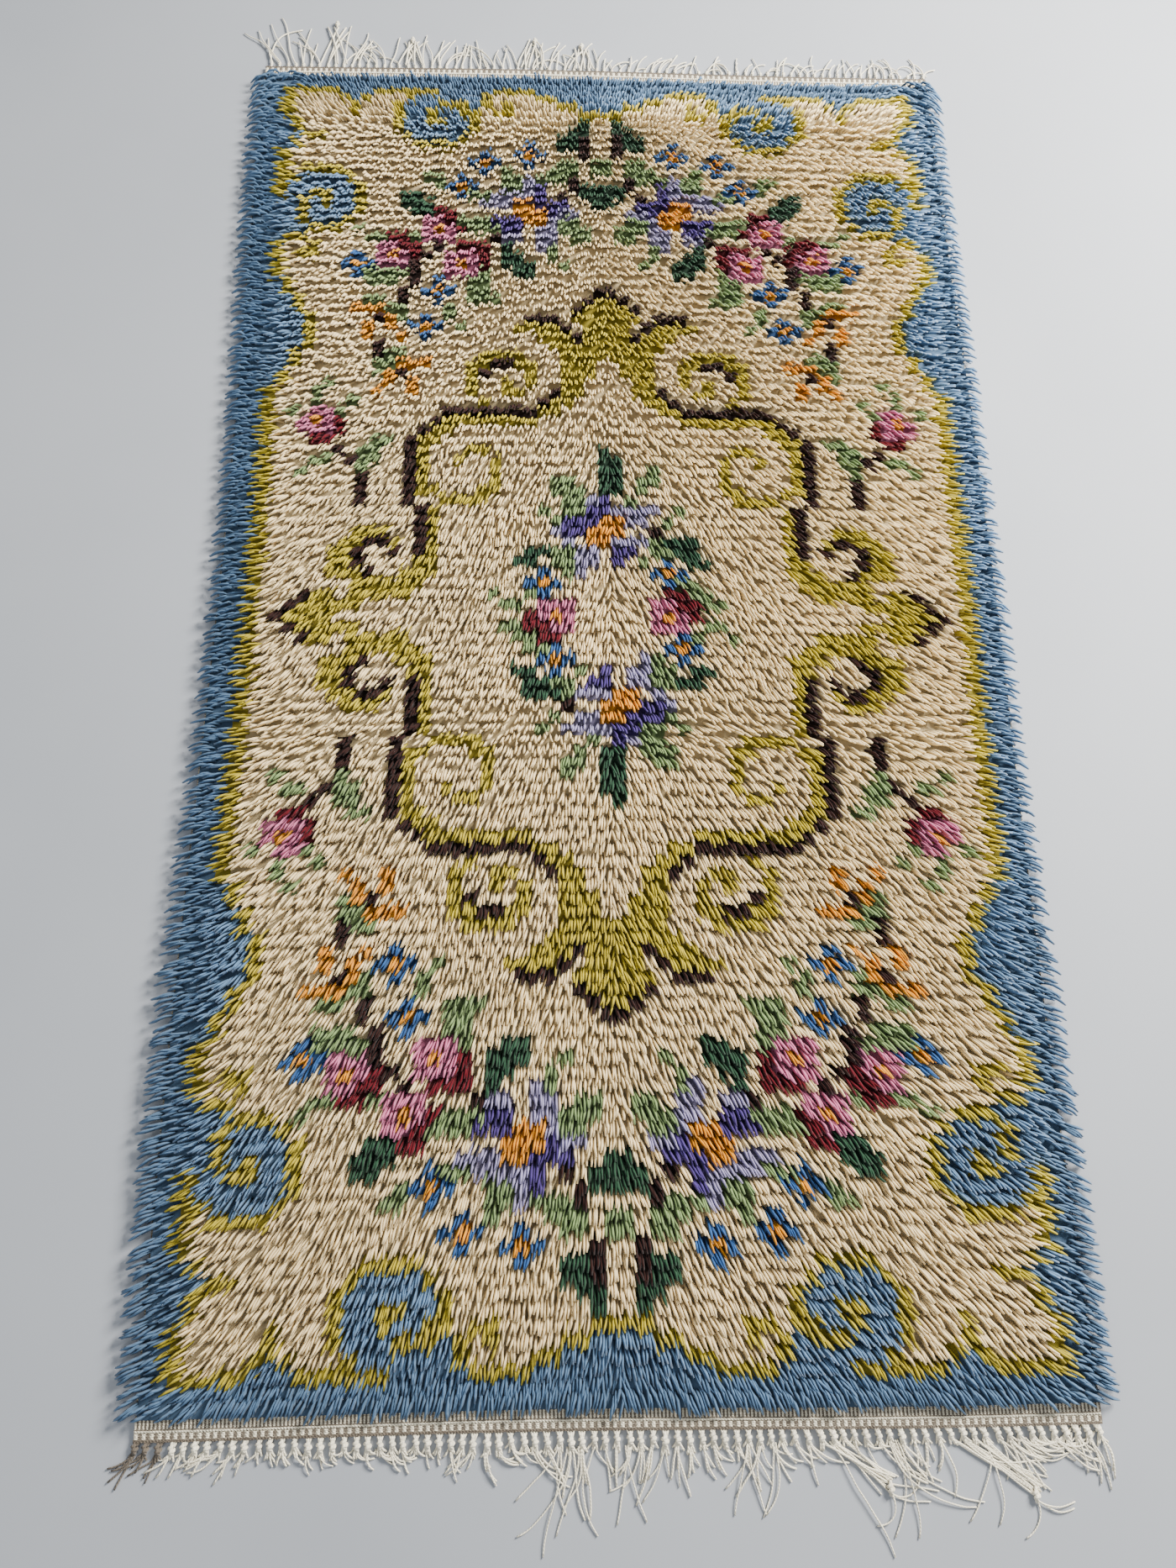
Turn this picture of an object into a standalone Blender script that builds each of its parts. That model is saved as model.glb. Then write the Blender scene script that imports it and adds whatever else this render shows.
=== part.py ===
"""A knotted pile rug: one flat woven ground, its thick wool pile, and the warp fringe at each end.

Metres. +X runs across the rug, +Y along it to the back fringe, +Z up.
The origin is the middle of the ground's underside, which lies on the floor.
"""

import math
import random

import bmesh
import bpy

# Driving dimensions of the whole rug
RUG_WIDTH = 0.700
RUG_LENGTH = 1.280
GROUND_THICK = 0.003
PILE_HEIGHT = 0.0175
GAP = 0.0003

# Slow wander of the hand-beaten edges
SIDE_WANDER = 0.0022
SIDE_WAVE = 0.92
END_WANDER = 0.0013
END_WAVE = 0.61

# Heading band: ribs across the cloth, by distance in from its end
HEADING_RIBS = (
    # middle, half width
    (0.0022, 0.0013),
    (0.0058, 0.0012),
)
RIB_RISE = 0.0009
GROUND_BAYS = 20
GROUND_COLUMNS = 12

# Pile: a lumpy slab of yarn with a lock at every second place round its rim
PILE_HALF_WIDTH = RUG_WIDTH / 2 + 0.003
PILE_HALF_LENGTH = RUG_LENGTH / 2 - 0.009
PILE_COLUMNS = 20
PILE_LINES = 96
RIM_HEIGHT = 0.0098
RIM_BAND = 0.040
RIDGE_DEPTH = 0.0022
LUMP = 0.0013
NAP_LEAN = 0.0036
ROOT_PUSH = 0.0008
GROOVES = (
    # middle along Y, half length, how much deeper the rows part
    (-0.112, 0.030, 0.0030),
    (0.245, 0.060, 0.0022),
)

# A lock bends once and ends in a point
SIDE_LOCK = {"bend_out": 0.0075, "bend_z": 0.0056, "tip_out": 0.0140, "tip_z": 0.0016}
END_LOCK = {"bend_out": 0.0035, "bend_z": 0.0076, "tip_out": 0.0062, "tip_z": 0.0062}
LOCK_TAPER = 0.70
LOCK_LEAN = 0.0045

# Fringe: knotted groups of warp ends, each of four sides, on a narrow strip
GROUPS = 80
STRIP_DEPTH = 0.0024
STRIP_HEIGHT = 0.0026
TOP_SHARE = 0.70
FRONT_SECTIONS = (
    # distance out, share of the tail after it, width, height
    (0.0000, 0.0, 0.0030, STRIP_HEIGHT),
    (0.0045, 0.0, 0.0056, 0.0046),
    (0.0085, 0.0, 0.0030, 0.0026),
    (0.0085, 0.5, 0.0026, 0.0020),
    (0.0085, 1.0, 0.0016, 0.0012),
)
BACK_SECTIONS = (
    (0.0000, 0.0, 0.0030, STRIP_HEIGHT),
    (0.0030, 0.0, 0.0044, 0.0038),
    (0.0050, 0.5, 0.0026, 0.0024),
    (0.0050, 1.0, 0.0016, 0.0014),
)
FRONT_FRINGE = (
    # along X, length, sideways lean
    (-0.350, 0.024, -0.40),
    (-0.300, 0.023, -0.45),
    (-0.240, 0.017, -0.10),
    (-0.170, 0.016, 0.00),
    (-0.120, 0.028, -0.20),
    (-0.060, 0.046, 0.05),
    (-0.030, 0.056, 0.00),
    (0.030, 0.040, 0.00),
    (0.060, 0.034, 0.10),
    (0.110, 0.043, 0.00),
    (0.150, 0.037, 0.35),
    (0.200, 0.042, 0.30),
    (0.240, 0.050, 0.52),
    (0.290, 0.042, 0.52),
    (0.350, 0.026, 0.42),
)
BACK_FRINGE = (
    (-0.350, 0.058, -0.20),
    (-0.310, 0.056, -0.08),
    (-0.260, 0.044, 0.12),
    (-0.200, 0.037, -0.12),
    (-0.100, 0.038, -0.12),
    (0.000, 0.030, 0.05),
    (0.100, 0.028, 0.10),
    (0.200, 0.023, 0.00),
    (0.300, 0.027, 0.30),
    (0.350, 0.030, 0.22),
)
LENGTH_SPREAD = 0.22
STRAND_WAVE = 0.0011

SEED = 61


def clear_scene():
    """Empties the scene."""
    for item in list(bpy.data.objects):
        bpy.data.objects.remove(item, do_unlink=True)


def lay(x, y, z):
    """A point of the straight rug, moved by the slow wander of its edges."""
    side = SIDE_WANDER * math.sin(2 * math.pi * y / SIDE_WAVE + 0.9)
    end = END_WANDER * math.sin(2 * math.pi * x / END_WAVE + 2.2)
    return (x + side, y + end, z)


def make_material(name, colour, roughness):
    """A plain Principled material."""
    material = bpy.data.materials.new(name)
    material.use_nodes = True
    shader = material.node_tree.nodes["Principled BSDF"]
    shader.inputs["Base Color"].default_value = (*colour, 1.0)
    shader.inputs["Roughness"].default_value = roughness
    shader.inputs["Metallic"].default_value = 0.0
    return material


def add_node(name, bm, material):
    """Turns a finished bmesh into one named object with its faces pointing out."""
    bmesh.ops.recalc_face_normals(bm, faces=bm.faces)
    mesh = bpy.data.meshes.new(name)
    bm.to_mesh(mesh)
    bm.free()
    mesh.materials.append(material)
    node = bpy.data.objects.new(name, mesh)
    bpy.context.scene.collection.objects.link(node)
    return node


def ground_stations():
    """Places along the ground and the height of its top there, from front to back."""
    half = RUG_LENGTH / 2
    band = [(0.0, 0.0)]
    for middle, half_width in HEADING_RIBS:
        band.append((middle - half_width, 0.0))
        band.append((middle, RIB_RISE))
        band.append((middle + half_width, 0.0))
    front = [(-half + inset, GROUND_THICK + rise) for inset, rise in band]
    back = [(half - inset, GROUND_THICK + rise) for inset, rise in reversed(band)]
    start, stop = front[-1][0], back[0][0]
    step = (stop - start) / GROUND_BAYS
    middle = [(start + step * bay, GROUND_THICK) for bay in range(1, GROUND_BAYS)]
    return front + middle + back


def build_ground(material):
    """The flat weave that carries the pile, with the ribs of its two heading bands."""
    bm = bmesh.new()
    step = RUG_WIDTH / GROUND_COLUMNS
    across = [-RUG_WIDTH / 2 + step * i for i in range(GROUND_COLUMNS + 1)]
    stations = ground_stations()
    top = [[bm.verts.new(lay(x, y, z)) for x in across] for y, z in stations]
    low = [[bm.verts.new(lay(x, y, 0.0)) for x in across] for y, _ in stations]
    last = GROUND_COLUMNS
    for row in range(len(stations) - 1):
        for i in range(last):
            bm.faces.new((top[row][i], top[row][i + 1], top[row + 1][i + 1], top[row + 1][i]))
        for i in (0, last):
            bm.faces.new((low[row][i], low[row + 1][i], top[row + 1][i], top[row][i]))
    for row in (0, -1):
        for i in range(last):
            bm.faces.new((low[row][i], low[row][i + 1], top[row][i + 1], top[row][i]))
    left = [row[0] for row in low[1:-1]]
    right = [row[last] for row in low[1:-1]]
    inner = [vert for row in low[1:-1] for vert in row[1:last]]
    for vert in inner:
        bm.verts.remove(vert)
    bm.faces.new(low[0] + right + list(reversed(low[-1])) + list(reversed(left)))
    return add_node("ground_weave", bm, material)


def groove(y):
    """How far the rows of knots part at y."""
    depth = RIDGE_DEPTH
    for middle, half, extra in GROOVES:
        away = (y - middle) / half
        depth += extra * math.exp(-away * away)
    return depth


def rim_share(x, y):
    """0 on the rim of the pile, 1 where its full height is reached."""
    inside = min(PILE_HALF_WIDTH - abs(x), PILE_HALF_LENGTH - abs(y))
    return min(max(inside / RIM_BAND, 0.0), 1.0)


def pile_point(x, y, line, chance):
    """A point of the pile's top: crests that lean to the front, hollows between, a low rim."""
    share = rim_share(x, y)
    is_hollow = line % 2 == 1
    full = RIM_HEIGHT + (PILE_HEIGHT - LUMP - RIM_HEIGHT) * math.sin(share * math.pi / 2)
    hollow = groove(y) * share if is_hollow else 0.0
    lean = 0.0 if is_hollow else NAP_LEAN * share
    return lay(x, y - lean, full - hollow + chance.uniform(-LUMP, LUMP))


def rim_walk(grid, extra):
    """Top points round the rim, anticlockwise, each with whether a lock starts after it.

    The front and back have two added points in each bay, and a lock between them.
    """
    walk = []
    for i in range(PILE_COLUMNS):
        first, second = extra[i, 0]
        walk += [(grid[i][0], False), (first, True), (second, False)]
    walk += [(grid[PILE_COLUMNS][j], j % 2 == 0) for j in range(PILE_LINES)]
    for i in range(PILE_COLUMNS, 0, -1):
        first, second = extra[i - 1, PILE_LINES]
        walk += [(grid[i][PILE_LINES], False), (second, True), (first, False)]
    walk += [(grid[0][j], j % 2 == 0) for j in range(PILE_LINES, 0, -1)]
    return walk


def end_points(bm, grid, i, j):
    """The two added points on the rim between two columns, pushed out a little."""
    a, b = grid[i][j].co, grid[i + 1][j].co
    push = ROOT_PUSH if j else -ROOT_PUSH
    points = []
    for share in (1 / 3, 2 / 3):
        place = a.lerp(b, share)
        place.y += push
        points.append(bm.verts.new(place))
    return points


def grow_lock(bm, wall, chance):
    """Pulls a tapering lock out of one wall face and brings it to a point."""
    middle = wall.calc_center_median()
    on_side = abs(middle.x) > PILE_HALF_WIDTH - 2 * SIDE_WANDER and abs(wall.normal.x) > 0.5
    form = SIDE_LOCK if on_side else END_LOCK
    out = wall.normal.copy()
    out.z = 0.0
    out.normalize()
    reach = chance.uniform(0.80, 1.15)
    lean = -LOCK_LEAN if on_side else 0.0
    drift = lean + chance.uniform(-0.002, 0.002)
    grown = bmesh.ops.extrude_discrete_faces(bm, faces=[wall])["faces"][0]
    bend = middle + out * form["bend_out"] * reach
    bend.z = form["bend_z"]
    for vert in grown.verts:
        vert.co = bend + (vert.co - middle) * LOCK_TAPER
    tip = middle + out * form["tip_out"] * reach
    tip.z = form["tip_z"] + chance.uniform(0.0, 0.0012)
    if on_side:
        tip.y += drift
    else:
        tip.x += drift
    poked = bmesh.ops.poke(bm, faces=[grown])["verts"][0]
    poked.co = tip


def build_pile(material):
    """The wool pile as one slab, flat below and lumpy on top, with locks round its rim."""
    chance = random.Random(SEED)
    bm = bmesh.new()
    across = 2 * PILE_HALF_WIDTH / PILE_COLUMNS
    along = 2 * PILE_HALF_LENGTH / PILE_LINES
    grid = []
    for i in range(PILE_COLUMNS + 1):
        x = -PILE_HALF_WIDTH + across * i
        column = []
        for j in range(PILE_LINES + 1):
            y = -PILE_HALF_LENGTH + along * j
            column.append(bm.verts.new(pile_point(x, y, j, chance)))
        grid.append(column)
    extra = {
        (i, j): end_points(bm, grid, i, j)
        for i in range(PILE_COLUMNS)
        for j in (0, PILE_LINES)
    }
    for i in range(PILE_COLUMNS):
        for j in range(PILE_LINES):
            near = extra.get((i, j), []) if j == 0 else []
            far = extra.get((i, j + 1), []) if j + 1 == PILE_LINES else []
            corners = [grid[i][j], *near, grid[i + 1][j], grid[i + 1][j + 1]]
            bm.faces.new(corners + list(reversed(far)) + [grid[i][j + 1]])
    walk = rim_walk(grid, extra)
    floor = GROUND_THICK + GAP
    below = [bm.verts.new((vert.co.x, vert.co.y, floor)) for vert, _ in walk]
    roots = []
    for k, (vert, starts_lock) in enumerate(walk):
        after = (k + 1) % len(walk)
        wall = bm.faces.new((below[k], below[after], walk[after][0], vert))
        if starts_lock:
            roots.append(wall)
    bm.faces.new(list(reversed(below)))
    bm.normal_update()
    for wall in roots:
        grow_lock(bm, wall, chance)
    return add_node("pile", bm, material)


def read_table(table, x):
    """Length and lean at x, straight between the table's rows."""
    for low, high in zip(table, table[1:]):
        if x <= high[0]:
            share = (x - low[0]) / (high[0] - low[0])
            return [a + (b - a) * share for a, b in zip(low[1:], high[1:])]
    return list(table[-1][1:])


def strand_ring(bm, x, y, heading, width, height):
    """Four points of a strand's section: flat on the floor, narrower on top."""
    side = (math.cos(heading), math.sin(heading))
    ring = []
    for share, z in ((-1, 0.0), (1, 0.0), (TOP_SHARE, height), (-TOP_SHARE, height)):
        reach = share * width / 2
        ring.append(bm.verts.new(lay(x + side[0] * reach, y + side[1] * reach, z)))
    return ring


def build_strand(bm, x, face_y, outward, sections, length, lean, wave):
    """One knotted group of warp ends lying on the floor. Returns its root section."""
    knot_end = sections[-1][0]
    tail = length - knot_end
    shrink = 1 / math.hypot(1.0, lean)
    rings = []
    for knot, tail_share, width, height in sections:
        out = knot + tail * tail_share
        part = out / length
        away = out * (1 - part + part * shrink)
        shift = lean * out * part * shrink + wave * math.sin(math.pi * 2 * part)
        heading = math.atan(lean * part) * -outward if part else 0.0
        ring = strand_ring(bm, x + shift, face_y + outward * away, -heading, width, height)
        rings.append(ring)
    for low, high in zip(rings, rings[1:]):
        for k in range(4):
            after = (k + 1) % 4
            bm.faces.new((low[k], low[after], high[after], high[k]))
    bm.faces.new(rings[-1])
    return rings[0]


def build_fringe(name, outward, sections, table, material):
    """A narrow strip just off the end of the ground, with every group rooted in it."""
    chance = random.Random(f"{name} {SEED}")
    bm = bmesh.new()
    near_y = outward * (RUG_LENGTH / 2 + GAP)
    face_y = near_y + outward * STRIP_DEPTH
    pitch = RUG_WIDTH / GROUPS
    roots = []
    for k in range(GROUPS):
        x = -RUG_WIDTH / 2 + pitch * (k + 0.5)
        length, lean = read_table(table, x)
        length *= chance.uniform(1 - LENGTH_SPREAD, 1 + LENGTH_SPREAD)
        wave = chance.uniform(-STRAND_WAVE, STRAND_WAVE)
        roots.append(build_strand(bm, x, face_y, outward, sections, length, lean, wave))
    inner = []
    for k in range(GROUPS + 1):
        x = -RUG_WIDTH / 2 + pitch * k
        low = bm.verts.new(lay(x, near_y, 0.0))
        high = bm.verts.new(lay(x, near_y, STRIP_HEIGHT))
        inner.append((low, high))
    for k, (low_left, low_right, high_right, high_left) in enumerate(roots):
        (a_low, a_high), (b_low, b_high) = inner[k], inner[k + 1]
        bm.faces.new((a_low, b_low, b_high, a_high))
        bm.faces.new((a_high, b_high, high_right, high_left))
        bm.faces.new((a_low, low_left, low_right, b_low))
        if k + 1 == GROUPS:
            break
        next_low, _, _, next_high = roots[k + 1]
        bm.faces.new((b_high, next_high, high_right))
        bm.faces.new((b_low, low_right, next_low))
        bm.faces.new((low_right, high_right, next_high, next_low))
    for root, (low, high), left in ((roots[0], inner[0], True), (roots[-1], inner[-1], False)):
        edge_low, edge_high = (root[0], root[3]) if left else (root[1], root[2])
        bm.faces.new((low, high, edge_high, edge_low))
    return add_node(name, bm, material)


def build_rug():
    """The whole rug: ground, pile and both fringes."""
    weave = make_material("cotton_ground", (0.56, 0.52, 0.44), 0.92)
    wool = make_material("wool_pile", (0.66, 0.58, 0.42), 0.95)
    warp = make_material("cotton_warp", (0.78, 0.73, 0.62), 0.90)
    rug = bpy.data.objects.new("rug", None)
    bpy.context.scene.collection.objects.link(rug)
    pieces = [
        build_ground(weave),
        build_pile(wool),
        build_fringe("fringe_front", -1, FRONT_SECTIONS, FRONT_FRINGE, warp),
        build_fringe("fringe_back", 1, BACK_SECTIONS, BACK_FRINGE, warp),
    ]
    for piece in pieces:
        piece.parent = rug


clear_scene()
build_rug()
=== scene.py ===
"""Looks of the knotted pile rug: its yarn ends, the woven headings and the knotted fringes.

Metres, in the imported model's frame. +X runs across the rug, +Y to the back fringe, +Z up.
The pattern is charted on the knots: `out` counts knots from the long middle line to a side,
and `along` counts rows from the middle row to an end.
"""

import math
import random

import bpy
import numpy as np
from mathutils import Matrix, Vector


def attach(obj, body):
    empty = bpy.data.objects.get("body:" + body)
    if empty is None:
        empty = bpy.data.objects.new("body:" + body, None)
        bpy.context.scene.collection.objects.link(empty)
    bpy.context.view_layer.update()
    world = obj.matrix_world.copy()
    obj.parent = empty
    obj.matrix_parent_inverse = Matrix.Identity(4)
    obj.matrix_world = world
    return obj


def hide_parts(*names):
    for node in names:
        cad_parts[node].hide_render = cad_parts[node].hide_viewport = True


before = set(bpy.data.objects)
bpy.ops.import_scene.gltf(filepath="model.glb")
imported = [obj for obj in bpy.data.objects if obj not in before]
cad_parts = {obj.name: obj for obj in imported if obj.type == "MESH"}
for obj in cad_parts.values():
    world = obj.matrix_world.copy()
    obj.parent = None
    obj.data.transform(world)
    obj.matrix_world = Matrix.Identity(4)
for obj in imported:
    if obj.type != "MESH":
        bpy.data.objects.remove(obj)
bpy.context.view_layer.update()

# Driving sizes, as in the CAD
RUG_WIDTH = 0.700
RUG_LENGTH = 1.280
GROUND_THICK = 0.003
SIDE_WANDER = 0.0022
SIDE_WAVE = 0.92
END_WANDER = 0.0013
END_WAVE = 0.61

# Knots: an even number across, an odd number of rows along
HALF_COLUMNS = 31
HALF_ROWS = 59
COLUMNS = 2 * HALF_COLUMNS
ROWS = 2 * HALF_ROWS + 1
KNOT_WIDTH = 0.01119
ROW_PITCH = 0.01051
PILE_WIDTH = COLUMNS * KNOT_WIDTH

# Yarn ends: how many lie side by side in a row, and the size of one
STRANDS_ACROSS = 285
STRAND_RADIUS = 0.00142
STRAND_LENGTH = 0.0250
ROOT_LIMIT = RUG_WIDTH / 2 - 0.002
SEED = 61


def srgb(red, green, blue):
    """A colour given in 0 to 255, as linear light."""
    return tuple((channel / 255) ** 2.2 for channel in (red, green, blue))


YARNS = {
    "cream": srgb(250, 226, 174),
    "blue": srgb(98, 130, 164),
    "olive": srgb(184, 168, 50),
    "brown": srgb(44, 18, 12),
    "bottle": srgb(42, 74, 54),
    "sage": srgb(124, 148, 96),
    "mid_blue": srgb(48, 90, 146),
    "orange": srgb(226, 150, 30),
    "pink": srgb(204, 116, 152),
    "burgundy": srgb(96, 10, 28),
    "lavender": srgb(156, 150, 188),
    "violet": srgb(76, 60, 124),
}
YARN_NAMES = list(YARNS)


def lay(x, y):
    """A place on the straight rug, moved by the slow wander of its hand-beaten edges."""
    side = SIDE_WANDER * np.sin(2 * math.pi * y / SIDE_WAVE + 0.9)
    end = END_WANDER * np.sin(2 * math.pi * x / END_WAVE + 2.2)
    return x + side, y + end


def smooth(low, high, value):
    """0 below low, 1 above high, eased between."""
    share = np.clip((value - low) / (high - low), 0.0, 1.0)
    return share * share * (3 - 2 * share)


# The chart of yarns

# Where a motif repeats: (side, end) of each place
QUARTERS = ((-1, 1), (1, 1), (-1, -1), (1, -1))
HALF_TURN = ((-1, 1), (1, -1))

# The two large flowers, nine knots wide
LETTERS = {"L": "lavender", "V": "violet", "O": "orange"}
LETTER_MIDDLE = 4
STAR = (
    ".....L...",
    "..LL.LL..",
    "..VV.LL..",
    ".VVVOOL..",
    "...OOOVLL",
    "LLLOOVVV.",
    ".LLLLV...",
    "....LV...",
    "....L....",
)
WREATH_STAR = (
    "......L..",
    "...V.LL..",
    "..VV.LL..",
    ".LLLOO.L.",
    "...OOOVVL",
    ".LLOOVVV.",
    "LLLLVV...",
    "....VL...",
)


def knot(side, end, out, along):
    """Column and row of a knot. Side is -1 on the left, end is 1 at the front."""
    column = HALF_COLUMNS - 1 - out if side < 0 else HALF_COLUMNS + out
    return column, HALF_ROWS - along * end


class Chart:
    """The yarn of every knot, painted motif by motif."""

    def __init__(self):
        self.yarn = np.zeros((ROWS, COLUMNS), dtype=np.int32)
        self.places = QUARTERS

    def block(self, name, out, along, wide=1, tall=1):
        """Paints a block of knots, once in each of the current places."""
        index = YARN_NAMES.index(name)
        for side, end in self.places:
            for step_out in range(out, out + wide):
                for step_along in range(along, along + tall):
                    column, row = knot(side, end, step_out, step_along)
                    self.yarn[row, column] = index

    def columns(self, name, along, *runs):
        """Paints single-knot columns one after another from `along` on: (out, how many)."""
        for out, tall in runs:
            self.block(name, out, along, 1, tall)
            along += tall

    def rows(self, name, along, runs):
        """Paints one run of knots in each row from `along` on: "first" or "first:how many"."""
        for step, run in enumerate(runs.split()):
            out, _, wide = run.partition(":")
            self.block(name, int(out), along + step, int(wide or 1))

    def flower(self, out, along):
        """A small five-knot flower with an orange eye."""
        self.block("mid_blue", out - 1, along, 3)
        self.block("mid_blue", out, along - 1, 1, 3)
        self.block("orange", out, along)

    def rose(self, out, along, shade):
        """A pink rose with an orange eye. Shade lists the burgundy runs (row, first, how many)."""
        self.block("pink", out - 1, along - 1, 3, 3)
        self.block("orange", out, along)
        for step, first, wide in shade:
            self.block("burgundy", out + first, along + step, wide)

    def letters(self, lines, out, along):
        """Paints a small chart drawn in letters, outward knots first, round its middle knot."""
        for row, line in enumerate(lines, start=-LETTER_MIDDLE):
            for place, letter in enumerate(line):
                if letter in LETTERS:
                    self.block(LETTERS[letter], out + LETTER_MIDDLE - place, along + row)

    def spread_border(self):
        """Fills with blue all that is reached from the rim without crossing the outline."""
        blue, cream = YARN_NAMES.index("blue"), YARN_NAMES.index("cream")
        waiting = [(row, column) for row in (0, ROWS - 1) for column in range(COLUMNS)]
        waiting += [(row, column) for row in range(ROWS) for column in (0, COLUMNS - 1)]
        while waiting:
            row, column = waiting.pop()
            inside = 0 <= row < ROWS and 0 <= column < COLUMNS
            if not inside or self.yarn[row, column] != cream:
                continue
            self.yarn[row, column] = blue
            waiting += [(row + 1, column), (row - 1, column)]
            waiting += [(row, column + 1), (row, column - 1)]


def chart_outline(chart):
    """The olive line between the blue border and the cream field, with its scrolls."""
    # Side, from the middle row to the corner
    chart.columns("olive", 0, (28, 23), (27, 2), (26, 2), (25, 4), (26, 2), (27, 2), (28, 4))
    chart.block("olive", 26, 39, 2)
    chart.rows("olive", 44, "28 28 27:2 28 28 28 27 25:2 27 27 28 28 28")
    # Hook on the side, then the side scroll and its curls
    chart.rows("olive", 37, "25:2 25")
    chart.rows("olive", 40, "23:3 22 21 21 21 21 22 23:4")
    chart.block("olive", 26, 41, 1, 3)
    chart.rows("olive", 43, "24 24:2")
    # End, from the corner to the middle
    chart.rows("olive", 54, "22 22 23 24:5")
    chart.block("olive", 21, 56)
    chart.rows("olive", 54, "0:2 2:2 4:2 6:4")
    # The end scroll, its curl, and the hook beside it
    chart.rows("olive", 51, "17 18 18 18 18 17 15:6")
    chart.rows("olive", 50, "13:4 12 11 11 11")
    chart.rows("olive", 54, "12 12:3")
    chart.rows("olive", 53, "14:2 15")
    chart.rows("olive", 54, "8:2 8")
    chart.block("olive", 10, 55, 1, 2)


def chart_medallion(chart):
    """The scrolled olive frame round the middle, edged with dark brown."""
    # Side tip and the olive arms behind it
    chart.rows("olive", 0, "22:4 20:5 16:8 15:6")
    chart.block("cream", 21, 2)
    # Ring beside the tip, with a brown curl inside
    chart.rows("olive", 4, "14:3 14:2 14 14 14 14 14")
    chart.rows("olive", 4, "20:3 21:2 21:2 20:2 18:3")
    chart.block("olive", 17, 7)
    chart.rows("brown", 4, "19 20 20 18:2")
    chart.block("brown", 17, 6)
    chart.rows("brown", 0, "26 25 24")
    # Brown edge from the ring to the corner and along the end
    chart.columns("brown", 6, (15, 5), (16, 7))
    chart.rows("brown", 18, "15 14 6:8 5 4")
    # Olive inside that edge, and the inner curl
    chart.rows("olive", 12, "15 15 15 15 15 14:2 13:2 6:8 4:2 3:2 2:2")
    chart.rows("olive", 11, "10:4 9:2 9 9 9 10:2")
    chart.block("olive", 14, 12)
    chart.block("olive", 12, 15)
    # Outer curl near the end lobe
    chart.rows("olive", 21, "10 11 11 11 11")
    chart.rows("olive", 22, "7:2 8")
    chart.rows("olive", 23, "6 6 6:5 7:4")
    chart.block("brown", 10, 24)
    chart.block("brown", 8, 25, 2)
    # End lobe: legs, body, brown marks and tip
    chart.rows("olive", 23, "2:2 1:3 1:3 0:4 0:5 0:6 0:8 0:3 0:2")
    chart.rows("brown", 28, "2 3 4:3 2 1 0")
    chart.block("cream", 2, 29)
    chart.block("olive", 0, 32)


def chart_sprays(chart):
    """The flower sprays of each quarter: side rose, orange buds and the large spray."""
    # Side rose with its stem and leaves
    chart.rows("sage", 14, "20 19:2 19:2 18:2")
    chart.rows("sage", 14, "25 23:2")
    chart.block("sage", 26, 20)
    chart.rows("sage", 20, "22 21")
    chart.rows("sage", 21, "24 24 23")
    chart.block("brown", 20, 11, 1, 3)
    chart.rows("brown", 15, "21 22")
    chart.rose(24, 19, ((-2, -1, 2), (-1, -2, 1), (0, -2, 1)))
    chart.block("cream", 25, 20)
    # Orange buds
    for name, first_row, runs in (
        ("orange", 22, "19"),
        ("orange", 22, "16 16"),
        ("orange", 23, "18 18 15:3"),
        ("brown", 24, "17"),
        ("sage", 24, "19 18:2 17:2"),
        ("brown", 26, "19 19"),
        ("orange", 28, "20 20"),
        ("orange", 28, "17 18 18 19:3"),
        ("brown", 30, "19"),
        ("sage", 30, "17 17:2 19:2"),
        ("brown", 32, "17 17 16 16 16 15 14"),
    ):
        chart.rows(name, first_row, runs)
    # Leaves of the large spray
    for name, first_row, runs in (
        ("sage", 29, "12 13 13"),
        ("sage", 32, "9:3 10:2 10:2 10"),
        ("sage", 34, "18:3 17:4"),
        ("sage", 39, "19:2 21"),
        ("sage", 39, "15:2"),
        ("sage", 40, "9:3 10:3"),
        ("bottle", 35, "6:2 6:3 7:2 8"),
        ("sage", 36, "3 4 4"),
        ("sage", 39, "1:2 1:3 2:2"),
        ("bottle", 42, "15:2 15:3 16:2"),
        ("sage", 44, "10:2"),
        ("sage", 45, "14 14:2"),
        ("sage", 45, "7:2 7:2 8"),
        ("sage", 46, "3:3 2:3 2:2"),
        ("bottle", 43, "0 0:2 0:2"),
        ("sage", 47, "0 0"),
        ("brown", 44, "3 2 2"),
        ("brown", 39, "9"),
        ("bottle", 50, "2:2 2:2 1:2 1"),
        ("brown", 49, "1 1 1"),
    ):
        chart.rows(name, first_row, runs)
    # Flowers
    chart.rose(18, 37, ((0, -2, 1), (1, -2, 2), (2, -1, 2)))
    chart.rose(12, 36, ((0, -2, 1), (1, -2, 1), (2, -2, 3)))
    chart.rose(14, 40, ((0, -2, 1), (1, -1, 1), (2, -1, 2)))
    chart.letters(STAR, 6, 42)
    for out, along in ((15, 29), (14, 33), (21, 36), (12, 45), (10, 48), (6, 49)):
        chart.flower(out, along)


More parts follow.
